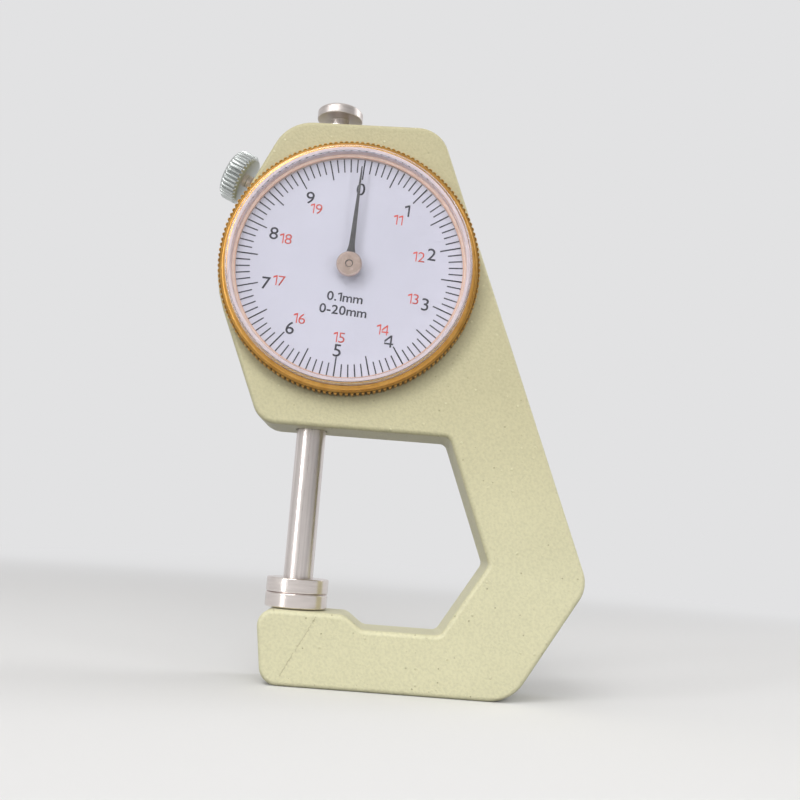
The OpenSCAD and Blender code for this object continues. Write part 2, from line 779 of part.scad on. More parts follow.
module hairspring_stud() {
    color(brass) on_dial(bridge_d) translate([0, stud_reach])
        cylinder(r = stud_r, h = hair_d + hair_h - bridge_d);
}

module hairspring() {
    steps = 24 * hair_turns;
    widen = hair_out_r - hair_in_r;
    function spiral(i, w) = (hair_in_r + w + widen * i / steps) * dirv(90 + 360 * hair_turns * i / steps);
    color(spring_steel) on_dial(hair_d) linear_extrude(hair_h) polygon(concat(
        [for (i = [0:steps]) spiral(i, 0)],
        [for (i = [steps:-1:0]) spiral(i, hair_t)]
    ));
}

module hairspring_collet() {
    color(brass) on_dial(hair_d - collet_lap) ring(collet_r, staff_r, hair_h + 2 * collet_lap);
}

module pinion_arbor() {
    tooth = 360 / pinion_teeth;
    back_d = floor_d - wall_grip + end_play;
    shoulder_d = floor_d - wall_grip + rear_bush_len + end_play;
    tip_d = hub_front_d - hub_recess;
    color(steel) union() {
        on_dial(-rack_w / 2 - pinion_overhang) linear_extrude(rack_w + 2 * pinion_overhang) polygon([
            for (i = [0:pinion_teeth - 1])
            let (a = 180 + (i + 0.5) * tooth)
            each concat(
                [pinion_root_r * dirv(a - half_angle(base_r))],
                [for (r = flank_radii) r * dirv(a - half_angle(r))],
                [for (r = flank_radii_down) r * dirv(a + half_angle(r))],
                [pinion_root_r * dirv(a + half_angle(base_r))]
            )
        ]);
        on_dial(back_d) cylinder(r = pivot_r, h = shoulder_d - back_d + eps);
        on_dial(shoulder_d) cylinder(r = staff_r, h = hub_back_d - shoulder_d);
        on_dial(hub_back_d - eps) cylinder(r = staff_tip_r, h = tip_d - hub_back_d + eps);
    }
}

// Half of the needle's outline: a hollow flare out of the hub, then a straight taper
function flare_x(y) =
    let (drop = pointer_flare_len - y)
    pointer_root_w / 2 + pointer_flare_r - sqrt(pointer_flare_r * pointer_flare_r - drop * drop);
needle_right = concat(
    [for (k = [0:flare_steps]) let (y = pointer_flare_len * k / flare_steps) [flare_x(y), y]],
    [[pointer_tip_w / 2, pointer_len]]
);
needle_left = [for (k = [len(needle_right) - 1:-1:0]) [-needle_right[k].x, needle_right[k].y]];

module pointer() {
    color(needle_grey) difference() {
        on_dial(pointer_d) linear_extrude(pointer_t) rotate(-pointer_rest) union() {
            circle(r = pointer_boss_r);
            polygon(concat(needle_right, needle_left));
        }
        on_dial(pointer_d - over) cylinder(r = hub_pipe_r, h = pointer_t + 2 * over);
    }
}

module pointer_hub() {
    front = hub_front_d - hub_back_d;
    seat = pointer_d + pointer_t - hub_back_d;
    color(brass) on_dial(hub_back_d) rotate_extrude() polygon([
        [staff_tip_r, 0], [hub_pipe_r, 0], [hub_pipe_r, seat], [hub_r, seat], [hub_r, front - hub_bevel],
        [hub_r - hub_bevel, front], [staff_tip_r, front]
    ]);
}

// Half section of the bezel's smooth lip with a cove at its foot
module lip_section() {
    difference() {
        union() {
            square([bezel_lip_r - bezel_lip_round, bezel_lip_h]);
            square([bezel_lip_r, bezel_lip_h - bezel_lip_round]);
            translate([bezel_lip_r - bezel_lip_round, bezel_lip_h - bezel_lip_round])
                circle(r = bezel_lip_round);
        }
        translate([bezel_lip_r + cove_out, cove_r]) circle(r = cove_r);
    }
}

module bezel() {
    groove_r = snap_mid_r - snap_r - snap_play;
    color(gold) difference() {
        union() {
            on_dial(bezel_back_d) knurl(bezel_r, bezel_knurl_depth, bezel_grooves, bezel_band_h);
            on_dial(spigot_end_d) cylinder(r = spigot_r, h = bezel_back_d - spigot_end_d + eps);
            on_dial(bezel_back_d + bezel_band_h) translate([0, 0, -eps]) rotate_extrude() union() {
                translate([0, eps]) lip_section();
                square([bezel_lip_r - cove_r, 2 * eps]);
            }
        }
        on_dial(spigot_end_d - over) cylinder(r = spigot_bore_r, h = frame_t);
        on_dial(dial_back_d) cylinder(r = dial_seat_r, h = frame_t);
        on_dial(crystal_foot_d) cylinder(r = crystal_foot_r, h = crystal_foot_t);
        on_dial(crystal_foot_d) cylinder(r = bezel_mouth_d / 2, h = frame_t);
        on_dial(snap_d - groove_half) ring(spigot_r + over, groove_r, 2 * groove_half);
    }
}

module snap_ring() {
    color(spring_steel) on_dial(snap_d) rotate(snap_turn) rotate_extrude(angle = 360 - snap_gap_angle)
        translate([snap_mid_r, 0]) circle(r = snap_r, $fn = 24);
}

module dial_plate() {
    color(dial_white) on_dial(dial_back_d) ring(dial_seat_r, dial_hole_r, dial_t);
}

module dial_ring() {
    color(dial_white) on_dial(dial_front_d)
        ring(dial_seat_r, dial_seat_r - ring_w, crystal_foot_d - dial_front_d);
}

// Half section of a round-shouldered disc
module domed_section(r, h, round) {
    square([r, h - round]);
    square([r - round, h]);
    translate([r - round, h - round]) circle(r = round);
}

module crystal() {
    height = crystal_top_d - crystal_foot_d;
    color(crystal_tint) on_dial(crystal_foot_d) rotate_extrude() difference() {
        union() {
            square([crystal_foot_r, crystal_foot_t]);
            domed_section(crystal_r, height, crystal_round);
        }
        domed_section(crystal_r - crystal_wall, height - crystal_t, crystal_round - crystal_round_step);
        translate([-over, -over]) square([crystal_r - crystal_wall + over, 2 * over]);
        translate([-over, -over]) square([over + eps, height - crystal_t + over]);
        translate([-2 * crystal_r, -crystal_r]) square([2 * crystal_r, 3 * crystal_r]);
    }
}

module clamp_screw() {
    head_r = clamp_head_d / 2;
    thread_len = clamp_wall_s - clamp_tip_s + thread_proud;
    color(steel) union() {
        intersection() {
            on_clamp(clamp_head_s) knurl(head_r, clamp_knurl_depth, clamp_grooves, clamp_head_t);
            on_clamp(clamp_head_s) bevelled(head_r, clamp_head_t, clamp_knurl_depth + clamp_bevel);
        }
        on_clamp(clamp_tip_s) cylinder(d = clamp_thread_d, h = thread_len);
        on_clamp(clamp_tip_s)
            cylinder(d = clamp_thread_d - clamp_neck_step, h = clamp_head_s - clamp_tip_s + eps);
    }
}

module clamp_plug() {
    color(brass) difference() {
        on_clamp(0) cylinder(d = clamp_plug_d, h = clamp_tip_s);
        translate([clamp_plane_x, -frame_t, 0]) cube([frame_t, 2 * frame_t, 2 * clamp_z]);
    }
}

frame();
upper_bush();
lower_bush();
anvil();
movement_bridge();
bridge_screws();
rear_bush();
front_bush();
guide_rail();
rail_screws();
spring_post();
return_spring();
hairspring_stud();
hairspring();
snap_ring();
spindle();
rack();
lift_knob();
contact_disc();
guide_pin();
spring_pin();
pinion_arbor();
hairspring_collet();
pointer();
pointer_hub();
bezel();
crystal();
dial_plate();
dial_ring();
clamp_screw();
clamp_plug();
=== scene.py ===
import json
import math

import bpy
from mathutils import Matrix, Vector

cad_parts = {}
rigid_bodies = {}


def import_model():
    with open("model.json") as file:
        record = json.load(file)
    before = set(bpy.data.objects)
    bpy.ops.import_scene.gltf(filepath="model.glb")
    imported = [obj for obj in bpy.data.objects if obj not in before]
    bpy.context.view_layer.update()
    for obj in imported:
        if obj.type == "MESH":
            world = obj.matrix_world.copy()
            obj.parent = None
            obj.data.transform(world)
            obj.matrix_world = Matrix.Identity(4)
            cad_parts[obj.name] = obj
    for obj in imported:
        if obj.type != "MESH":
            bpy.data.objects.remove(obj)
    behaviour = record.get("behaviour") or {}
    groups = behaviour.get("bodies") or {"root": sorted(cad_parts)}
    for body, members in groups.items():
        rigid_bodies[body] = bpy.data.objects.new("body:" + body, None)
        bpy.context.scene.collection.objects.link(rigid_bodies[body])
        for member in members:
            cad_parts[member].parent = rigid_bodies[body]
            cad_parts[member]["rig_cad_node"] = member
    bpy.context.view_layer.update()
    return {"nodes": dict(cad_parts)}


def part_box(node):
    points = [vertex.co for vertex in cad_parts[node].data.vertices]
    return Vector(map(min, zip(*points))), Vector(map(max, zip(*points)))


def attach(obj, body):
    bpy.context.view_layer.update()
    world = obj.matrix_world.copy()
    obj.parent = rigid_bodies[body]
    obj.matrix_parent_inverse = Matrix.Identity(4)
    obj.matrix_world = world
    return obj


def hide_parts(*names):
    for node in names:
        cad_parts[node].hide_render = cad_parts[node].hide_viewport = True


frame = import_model()
nodes = frame["nodes"]
mm = 0.001
print("frame loaded with", len(nodes), "nodes")


# places on the dial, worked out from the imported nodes

dialLow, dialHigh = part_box("dial_plate")
dialX = (dialLow.x + dialHigh.x) / 2
dialZ = (dialLow.z + dialHigh.z) / 2
dialFrontY = dialLow.y
dialCentre = (dialX, dialFrontY, dialZ)


def atDial(radius, depth):
    return Vector((dialX + radius * mm, -depth * mm, dialZ))


# selection and edit helpers

def onlySelect(piece):
    if bpy.context.object and bpy.context.object.mode != "OBJECT":
        bpy.ops.object.mode_set(mode="OBJECT")
    bpy.ops.object.select_all(action="DESELECT")
    piece.select_set(True)
    bpy.context.view_layer.objects.active = piece


def startEdit(piece, picks="VERT"):
    onlySelect(piece)
    bpy.ops.object.mode_set(mode="EDIT")
    bpy.ops.mesh.select_mode(type=picks)
    bpy.ops.mesh.select_all(action="SELECT")


def endEdit():
    bpy.ops.object.mode_set(mode="OBJECT")


# stays in edit mode, with only those edges selected whose two ends both pass the test
def pickEdges(piece, holds):
    startEdit(piece, "EDGE")
    bpy.ops.mesh.select_all(action="DESELECT")
    endEdit()
    for edge in piece.data.edges:
        edge.select = all(holds(piece.data.vertices[i].co) for i in edge.vertices)
    bpy.ops.object.mode_set(mode="EDIT")


def extrudeBy(value):
    bpy.ops.mesh.extrude_region_move(TRANSFORM_OT_translate={"value": value})


def settle(piece):
    onlySelect(piece)
    bpy.ops.object.transform_apply(location=True, rotation=True, scale=True)


def applyAll(piece):
    onlySelect(piece)
    for modifier in list(piece.modifiers):
        bpy.ops.object.modifier_apply(modifier=modifier.name)


def rename(piece, name):
    piece.name = name
    piece.data.name = name


def joinPieces(pieces, name):
    onlySelect(pieces[0])
    for other in pieces[1:]:
        other.select_set(True)
    bpy.ops.object.join()
    rename(pieces[0], name)
    return pieces[0]


def smoothBy(piece, degrees):
    onlySelect(piece)
    bpy.ops.object.shade_smooth_by_angle(angle=math.radians(degrees))


def dress(piece, finish, body, replaces=()):
    piece.data.materials.clear()
    piece.data.materials.append(finish)
    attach(piece, body)
    if replaces:
        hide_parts(*replaces)


# cleaning of copied and spun meshes: a distance in mm, then angles in degrees
cleaning = {"merge": 0.002, "flat": 0.3, "hardEdge": 28}


def mergeDoubles():
    bpy.ops.mesh.select_all(action="SELECT")
    bpy.ops.mesh.remove_doubles(threshold=cleaning["merge"] * mm)


def faceOutwards():
    bpy.ops.mesh.select_all(action="SELECT")
    bpy.ops.mesh.normals_make_consistent(inside=False)


# a welded copy of a solid, with its hard edges broken by a small round
def workedCopy(nodeName, pieceName, edgeRound=0.0, segments=2, smooth=35):
    onlySelect(nodes[nodeName])
    bpy.ops.object.duplicate()
    piece = bpy.context.object
    rename(piece, pieceName)
    del piece["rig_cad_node"]
    startEdit(piece)
    mergeDoubles()
    bpy.ops.mesh.dissolve_limited(angle_limit=math.radians(cleaning["flat"]))
    endEdit()
    if edgeRound:
        bevel = piece.modifiers.new("edgeRound", "BEVEL")
        bevel.width = edgeRound * mm
        bevel.segments = segments
        bevel.limit_method = "ANGLE"
        bevel.angle_limit = math.radians(cleaning["hardEdge"])
        bevel.use_clamp_overlap = True
    smoothBy(piece, smooth)
    weighted = piece.modifiers.new("flatFaces", "WEIGHTED_NORMAL")
    weighted.keep_sharp = True
    applyAll(piece)
    return piece


# a revolved piece: one vertex is drawn along the profile, then spun round the dial's axis
def spunOnDial(name, profile, steps):
    places = [atDial(*step) for step in profile]
    bpy.ops.object.select_all(action="DESELECT")
    bpy.ops.mesh.primitive_plane_add(size=mm, location=(0, 0, 0))
    piece = bpy.context.object
    rename(piece, name)
    startEdit(piece)
    bpy.ops.mesh.merge(type="CENTER")
    bpy.ops.transform.translate(value=places[0])
    for last, here in zip(places, places[1:]):
        extrudeBy(here - last)
    bpy.ops.mesh.select_all(action="SELECT")
    bpy.ops.mesh.spin(steps=steps, angle=2 * math.pi, center=atDial(0, 0), axis=(0, 1, 0))
    mergeDoubles()
    faceOutwards()
    endEdit()
    return piece


# a flat bar that stands in the dial's plane
def standingBar(wide, tall, middle):
    bpy.ops.object.select_all(action="DESELECT")
    bpy.ops.mesh.primitive_plane_add(size=1, location=middle, rotation=(math.pi / 2, 0, 0))
    bar = bpy.context.object
    bar.scale = (wide, tall, 1)
    settle(bar)
    return bar


# shader helpers: capital names are sockets, small ones are settings

mixFirst, mixSecond, mixResult = 6, 7, 2  # the colour sockets of a Mix node


def tint(red, green, blue):
    def linear(value):
        value /= 255
        return value / 12.92 if value <= 0.04045 else ((value + 0.055) / 1.055) ** 2.4
    return (linear(red), linear(green), linear(blue), 1)


def grey(value):
    return (value, value, value, 1)


def newFinish(name, **sockets):
    finish = bpy.data.materials.new(name)
    finish.use_nodes = True
    shader = finish.node_tree.nodes["Principled BSDF"]
    for socket, value in sockets.items():
        shader.inputs[socket.replace("_", " ")].default_value = value
    return finish, shader


def addNode(finish, kind, **settings):
    node = finish.node_tree.nodes.new("ShaderNode" + kind)
    for key, value in settings.items():
        if key[0].isupper():
            node.inputs[key.replace("_", " ")].default_value = value
        else:
            setattr(node, key, value)
    return node


def link(finish, fromNode, output, toNode, socket):
    finish.node_tree.links.new(fromNode.outputs[output], toNode.inputs[socket])


# one sum: each input is a (node, output) pair or a plain number
def reckon(finish, operation, *inputs):
    node = addNode(finish, "Math", operation=operation)
    for socket, given in enumerate(inputs):
        if isinstance(given, tuple):
            link(finish, given[0], given[1], node, socket)
        else:
            node.inputs[socket].default_value = given
    return node


def addRamp(finish, source, output, stops):
    ramp = addNode(finish, "ValToRGB")
    link(finish, source, output, ramp, "Fac")
    elements = ramp.color_ramp.elements
    while len(elements) < len(stops):
        elements.new(0.5)
    for element, (place, colour) in zip(elements, stops):
        element.position = place
        element.color = colour
    return ramp


def mixColours(finish, factor, first, firstOut, second):
    mix = addNode(finish, "Mix", data_type="RGBA")
    link(finish, factor, 0, mix, 0)
    link(finish, first, firstOut, mix, mixFirst)
    mix.inputs[mixSecond].default_value = second
    return mix


def multiplyColours(finish, first, firstOut, second, secondOut):
    mix = addNode(finish, "Mix", data_type="RGBA", blend_type="MULTIPLY")
    mix.inputs[0].default_value = 1
    link(finish, first, firstOut, mix, mixFirst)
    link(finish, second, secondOut, mix, mixSecond)
    return mix


def mixShaders(finish, factor, output, first, firstOut, second, secondOut, target):
    mix = addNode(finish, "MixShader")
    link(finish, factor, output, mix, 0)
    link(finish, first, firstOut, mix, 1)
    link(finish, second, secondOut, mix, 2)
    link(finish, mix, "Shader", finish.node_tree.nodes[target], "Surface")


# small round spots in some of the cells: from full to none over the sizes, none to full over the shares
def spotMask(finish, coords, scale, sizes, shares):
    cells = addNode(finish, "TexVoronoi", Scale=scale)
    link(finish, coords, "Object", cells, "Vector")
    disc = addRamp(finish, cells, "Distance", [(sizes[0], grey(1)), (sizes[1], grey(0))])
    pick = addRamp(finish, cells, "Color", [(shares[0], grey(0)), (shares[1], grey(1))])
    return reckon(finish, "MULTIPLY", (disc, "Color"), (pick, "Color"))


# finishes

paint = {
    # the three tones by height are painted shade: the casting darkens from the jaw up to the head
    "litJawTone": tint(220, 216, 180), "halfShadedWaistTone": tint(203, 197, 160), "shadedHeadTone": tint(191, 184, 147),
    "toneStops": (0.2, 0.5, 0.98), "lowZ": 0.0, "highZ": 0.093,
    "mottleScale": 60, "mottle": 0.05, "mottleStops": (0.35, 0.65),
    "pebbleScale": 2300, "pebbleShade": 0.1, "pebbleStops": (0.30, 0.62), "pebbleHeight": 0.00007,
    # pits get painted shade and nibs a painted highlight
    "pitScale": 760, "pitSizes": (0.0715, 0.13), "pitShares": (0.48, 0.51), "pitShadeColour": tint(184, 177, 142),
    "nibScale": 600, "nibSizes": (0.0825, 0.15), "nibShares": (0.46, 0.49), "nibHighlightColour": tint(216, 211, 176),
    "smoothest": 0.36, "roughest": 0.52,
    # a hairline left by the mould, from low on the nose up to the anvil's seat
    "lineFrom": (-0.00105, 0.00158), "lineTo": (0.00382, 0.01082), "lineHalf": 0.00006,
    # the hairline's darker colour is painted shade in its scored groove
    "lineShadeColour": tint(194, 188, 154), "lineWander": 0.0005, "lineBreaks": 1400, "breakStops": (0.34, 0.42),
}


# the hairline runs along the turned Z axis: near in X, between its ends in Z, on the front face only
def mouldLine(finish, coords, pebble):
    startX, startZ = paint["lineFrom"]
    endX, endZ = paint["lineTo"]
    lean = math.atan2(endX - startX, endZ - startZ)
    length = math.hypot(endX - startX, endZ - startZ)
    place = addNode(finish, "Mapping", vector_type="TEXTURE",
                    Location=(startX, 0, startZ), Rotation=(0, lean, 0))
    link(finish, coords, "Object", place, "Vector")
    split = addNode(finish, "SeparateXYZ")
    link(finish, place, "Vector", split, 0)
    # it wanders with the pebbles
    wander = reckon(finish, "MULTIPLY_ADD", (pebble, "Fac"), paint["lineWander"], -paint["lineWander"] / 2)
    shifted = reckon(finish, "ADD", (split, "X"), (wander, 0))
    away = reckon(finish, "ABSOLUTE", (shifted, 0))
    near = reckon(finish, "LESS_THAN", (away, 0), paint["lineHalf"])
    # it is broken here and there
    breaks = addNode(finish, "TexNoise", Scale=paint["lineBreaks"], Detail=1.0)
    link(finish, coords, "Object", breaks, "Vector")
    gone, whole = paint["breakStops"]
    unbroken = addRamp(finish, breaks, "Fac", [(gone, grey(0)), (whole, grey(1))])
    line = reckon(finish, "MULTIPLY", (near, 0), (unbroken, "Color"))
    limits = (("Z", "GREATER_THAN", 0.0), ("Z", "LESS_THAN", length), ("Y", "LESS_THAN", 0.0))
    for axis, test, limit in limits:
        inside = reckon(finish, test, (split, axis), limit)
        line = reckon(finish, "MULTIPLY", (line, 0), (inside, 0))
    return line


def makePaint():
    finish, shader = newFinish("pebbledEnamel", Specular_IOR_Level=0.5)
    coords = addNode(finish, "TexCoord")
    # painted shade: lighter on the jaw and darker towards the head, following how the light fell, with the
    # jaw greener and the head warmer, and a faint cloud over both
    split = addNode(finish, "SeparateXYZ")
    link(finish, coords, "Object", split, 0)
    rise = addNode(finish, "MapRange", From_Min=paint["lowZ"], From_Max=paint["highZ"])
    link(finish, split, "Z", rise, "Value")
    tones = (paint["litJawTone"], paint["halfShadedWaistTone"], paint["shadedHeadTone"])
    blend = addRamp(finish, rise, "Result", list(zip(paint["toneStops"], tones)))
    mottle = addNode(finish, "TexNoise", Scale=paint["mottleScale"], Detail=3.0, Roughness=0.55)
    link(finish, coords, "Object", mottle, "Vector")
    dim, full = paint["mottleStops"]
    cloud = addRamp(finish, mottle, "Fac", [(dim, grey(1 - paint["mottle"])), (full, grey(1))])
    base = multiplyColours(finish, blend, "Color", cloud, "Color")
    pebble = addNode(finish, "TexNoise", Scale=paint["pebbleScale"], Detail=2.0, Roughness=0.45,
                     Distortion=0.3)
    link(finish, coords, "Object", pebble, "Vector")
    dim, full = paint["pebbleStops"]
    shade = addRamp(finish, pebble, "Fac", [(dim, grey(1 - paint["pebbleShade"])), (full, grey(1))])
    tone = multiplyColours(finish, base, mixResult, shade, "Color")
    # small open pits painted darker as shade in them, raised nibs painted lighter as a highlight on them, and
    # the hairline painted darker as shade in its groove
    pits = spotMask(finish, coords, paint["pitScale"], paint["pitSizes"], paint["pitShares"])
    nibs = spotMask(finish, coords, paint["nibScale"], paint["nibSizes"], paint["nibShares"])
    hairline = mouldLine(finish, coords, pebble)
    marks = ((pits, paint["pitShadeColour"]), (nibs, paint["nibHighlightColour"]), (hairline, paint["lineShadeColour"]))
    for mark, colour in marks:
        tone = mixColours(finish, mark, tone, mixResult, colour)
    link(finish, tone, mixResult, shader, "Base Color")
    rough = addNode(finish, "MapRange", To_Min=paint["smoothest"], To_Max=paint["roughest"])
    link(finish, pebble, "Fac", rough, "Value")
    link(finish, rough, "Result", shader, "Roughness")
    # height: pebble, less the pits, plus the nibs, less the hairline
    lowered = reckon(finish, "SUBTRACT", (pebble, "Fac"), (pits, 0))
    raised = reckon(finish, "ADD", (lowered, 0), (nibs, 0))
    scored = reckon(finish, "SUBTRACT", (raised, 0), (hairline, 0))
    bump = addNode(finish, "Bump", Strength=1.0, Distance=paint["pebbleHeight"])
    link(finish, scored, 0, bump, "Height")
    link(finish, bump, "Normal", shader, "Normal")
    return finish


# a band round a turned piece, such as the grooves of a knurl, found by its distance from the axis; it carries
# painted shade in knurl grooves, painted light on the clamp's neck and the dark seam at the hub
def bandMask(finish, coords, band):
    place = addNode(finish, "Mapping", vector_type="TEXTURE", Location=band["at"], Rotation=band["turn"])
    link(finish, coords, "Object", place, "Vector")
    flat = addNode(finish, "VectorMath", operation="MULTIPLY")
    flat.inputs[1].default_value = (1, 1, 0)
    link(finish, place, "Vector", flat, 0)
    reach = addNode(finish, "VectorMath", operation="LENGTH")
    link(finish, flat, "Vector", reach, 0)
    depth = addNode(finish, "MapRange", From_Min=band["inner"], From_Max=band["outer"])
    link(finish, reach, "Value", depth, "Value")
    dark = addRamp(finish, depth, "Result", [(stop, grey(share)) for stop, share in band["stops"]])
    split = addNode(finish, "SeparateXYZ")
    link(finish, place, "Vector", split, 0)
    along = addNode(finish, "MapRange", clamp=False, From_Min=band["from"], From_Max=band["to"])
    link(finish, split, "Z", along, "Value")
    within = reckon(finish, "COMPARE", (along, "Result"), 0.5, 0.5)  # from 0 to 1 along the axis
    return reckon(finish, "MULTIPLY", (dark, "Color"), (within, 0))


toolMarks = {"detail": 4.0, "roughness": 0.6, "smoother": 0.07, "rougher": 0.09, "bump": 0.5}


# turned or drawn metal: streaks follow the tool, stretched along the axis with the small number in "grain"
def makeMetal(name, colour, dark, roughness, grain, streak=0.35, bumpHeight=0.000004, bands=()):
    finish, shader = newFinish(name, Metallic=1.0)
    coords = addNode(finish, "TexCoord")
    stretch = addNode(finish, "Mapping", Scale=grain)
    link(finish, coords, "Object", stretch, "Vector")
    fine = addNode(finish, "TexNoise", Scale=1.0, Detail=toolMarks["detail"],
                   Roughness=toolMarks["roughness"])
    link(finish, stretch, "Vector", fine, "Vector")
    tone = addRamp(finish, fine, "Fac", [(0.5 - streak / 2, dark), (0.5 + streak / 2, colour)])
    output = "Color"
    for band in bands:
        tone = mixColours(finish, bandMask(finish, coords, band), tone, output, band["colour"])
        output = mixResult
    link(finish, tone, output, shader, "Base Color")
    rough = addNode(finish, "MapRange", To_Min=roughness - toolMarks["smoother"],
                    To_Max=roughness + toolMarks["rougher"])
    link(finish, fine, "Fac", rough, "Value")
    link(finish, rough, "Result", shader, "Roughness")
    bump = addNode(finish, "Bump", Strength=toolMarks["bump"], Distance=bumpHeight)
    link(finish, fine, "Fac", bump, "Height")
    link(finish, bump, "Normal", shader, "Normal")
    return finish


# clear plastic, the painted pale rim and the cream ring cast no shadow
def passLight(finish, shader):
    path = addNode(finish, "LightPath")
    clear = addNode(finish, "BsdfTransparent")
    mixShaders(finish, path, "Is Shadow Ray", shader, "BSDF", clear, "BSDF", "Material Output")


def makeAcrylic():
    finish, shader = newFinish("clearAcrylic", Base_Color=(0.985, 0.985, 0.99, 1), Roughness=0.0, IOR=1.49,
                               Transmission_Weight=1.0)
    passLight(finish, shader)
    return finish


inkCloud = {"scale": 900, "detail": 3.0, "stops": (0.3, 0.6)}


def makePrinted(name, colour, worn, roughness=0.45, milky=False):
    finish, shader = newFinish(name, Roughness=roughness)
    if milky:
        passLight(finish, shader)
    coords = addNode(finish, "TexCoord")
    cloud = addNode(finish, "TexNoise", Scale=inkCloud["scale"], Detail=inkCloud["detail"])
    link(finish, coords, "Object", cloud, "Vector")
    tone = addRamp(finish, cloud, "Fac", list(zip(inkCloud["stops"], (worn, colour))))
    link(finish, tone, "Color", shader, "Base Color")
    return finish


dialFace = {
    "white": tint(207, 207, 221), "shade": tint(202, 202, 216), "roughness": 0.38,
    "cloudScale": 60, "cloudStops": (0.3, 0.7),
    "speck": tint(120, 118, 128), "speckScale": 210, "speckSizes": (0.012, 0.03), "speckShares": (0.60, 0.64),
}


def makeDialFace():
    finish, shader = newFinish("dialWhite", Roughness=dialFace["roughness"])
    coords = addNode(finish, "TexCoord")
    cloud = addNode(finish, "TexNoise", Scale=dialFace["cloudScale"], Detail=2.0)
    link(finish, coords, "Object", cloud, "Vector")
    tones = (dialFace["shade"], dialFace["white"])
    tone = addRamp(finish, cloud, "Fac", list(zip(dialFace["cloudStops"], tones)))
    specks = spotMask(finish, coords, dialFace["speckScale"], dialFace["speckSizes"], dialFace["speckShares"])
    dusted = mixColours(finish, specks, tone, "Color", dialFace["speck"])
    link(finish, dusted, mixResult, shader, "Base Color")
    return finish


# the clamp's axis leans out of the casting's left flank, and its head ends at its farthest point
clampLean = math.radians(-65.6)
clampFoot = Vector((0, 0, 0.0762))
clampOut = Vector((math.sin(clampLean), 0, math.cos(clampLean)))
clampEnd = max((v.co - clampFoot).dot(clampOut) for v in nodes["clamp_screw"].data.vertices)

# painted shade: the grooves of the clamp's knurl are darkened
clampGrooveShade = {
    "at": clampFoot, "turn": (0, clampLean, 0), "inner": 0.00405, "outer": 0.00445,
    "from": clampEnd - 0.0028, "to": clampEnd - 0.0005, "colour": tint(120, 124, 122),
    "stops": ((0.02, 0), (0.1, 0.6), (0.4, 0.6), (0.75, 0)),
}
# painted light: the clamp's neck, in the head's shade, is lightened to a pale tone
clampNeckLight = {
    "at": clampFoot, "turn": (0, clampLean, 0), "inner": 0.0, "outer": 0.0014,
    "from": clampEnd - 0.0060, "to": clampEnd - 0.00335, "colour": tint(248, 232, 222),
    "stops": ((0.0, 1), (0.94, 1), (0.99, 0)),
}
# painted shade: the knurl's grooves are darkened, and the band's face under the lip less so
bezelGrooveShade = {
    "at": (dialX, 0, dialZ), "turn": (math.pi / 2, 0, 0), "inner": 0.0206, "outer": 0.0213,
    "from": 0.006, "to": 0.00856, "colour": tint(44, 26, 8),
    "stops": ((0.02, 0), (0.04, 0.25), (0.52, 0.25), (0.58, 0.72), (0.72, 0.72), (0.95, 0)),
}
# the seam between the pointer's staff and its hub
staffSeam = {
    "at": (dialX, 0, dialZ), "turn": (math.pi / 2, 0, 0), "inner": 0.0004, "outer": 0.0008,
    "from": 0.0085, "to": 0.0095, "colour": tint(84, 72, 66),
    "stops": ((0.2, 0), (0.28, 0.85), (0.55, 0.85), (0.65, 0)),
}

metals = {
    "groundSteel": {"colour": tint(238, 230, 226), "dark": tint(217, 208, 204), "roughness": 0.22,
                    "grain": (300, 300, 2500), "streak": 0.5},
    "drawnSteel": {"colour": tint(242, 235, 232), "dark": tint(206, 198, 195), "roughness": 0.28,
                   "grain": (1700, 1700, 40), "streak": 0.4, "bumpHeight": 0.000008},
    "turnedSteel": {"colour": tint(220, 213, 210), "dark": tint(198, 190, 186), "roughness": 0.4,
                    "grain": (300, 300, 2500), "streak": 0.5},
    "brightNickel": {"colour": tint(200, 204, 203), "dark": tint(186, 190, 188), "roughness": 0.3,
                     "grain": (300, 300, 300), "bands": (clampGrooveShade, clampNeckLight)},
    "goldAnodised": {"colour": tint(218, 168, 93), "dark": tint(204, 150, 75), "roughness": 0.32,
                     "grain": (700, 700, 700), "bands": (bezelGrooveShade,)},
    "nickelledBrass": {"colour": tint(230, 209, 198), "dark": tint(214, 193, 182), "roughness": 0.2,
                       "grain": (1500, 1500, 1500), "bands": (staffSeam,)},
    "plainBrass": {"colour": tint(206, 172, 100), "dark": tint(180, 146, 78), "roughness": 0.32,
                   "grain": (1200, 1200, 4000)},
    "plainSteel": {"colour": tint(190, 190, 192), "dark": tint(160, 160, 163), "roughness": 0.34,
                   "grain": (1500, 1500, 1500)},
    "springSteel": {"colour": tint(150, 152, 156), "dark": tint(116, 118, 122), "roughness": 0.34,
                    "grain": (2000, 2000, 2000)},
}
inks = {
    "creamRing": {"colour": tint(218, 194, 180), "worn": tint(210, 184, 168), "roughness": 0.4,
                  "milky": True},
    # painted light: the rim's pale tone stands in for the lit dial seen through clear acrylic
    "paintedRimLight": {"colour": tint(216, 202, 207), "worn": tint(210, 195, 200), "roughness": 0.3,
                     "milky": True},
    "roseGoldLine": {"colour": tint(212, 168, 144), "worn": tint(202, 156, 130), "roughness": 0.35},
    "blackInk": {"colour": tint(44, 45, 56), "worn": tint(60, 61, 74)},
    "redInk": {"colour": tint(214, 76, 62), "worn": tint(220, 98, 84)},
    "needleGrey": {"colour": tint(66, 66, 68), "worn": tint(86, 86, 88), "roughness": 0.35},
}
enamel = makePaint()
metal = {name: makeMetal(name, **look) for name, look in metals.items()}
acrylic = makeAcrylic()
dialWhite = makeDialFace()
ink = {name: makePrinted(name, **look) for name, look in inks.items()}
print("finishes made")


# casting, rod, discs, knob, clamp, needle, hub and bezel, with their edge rounds in mm

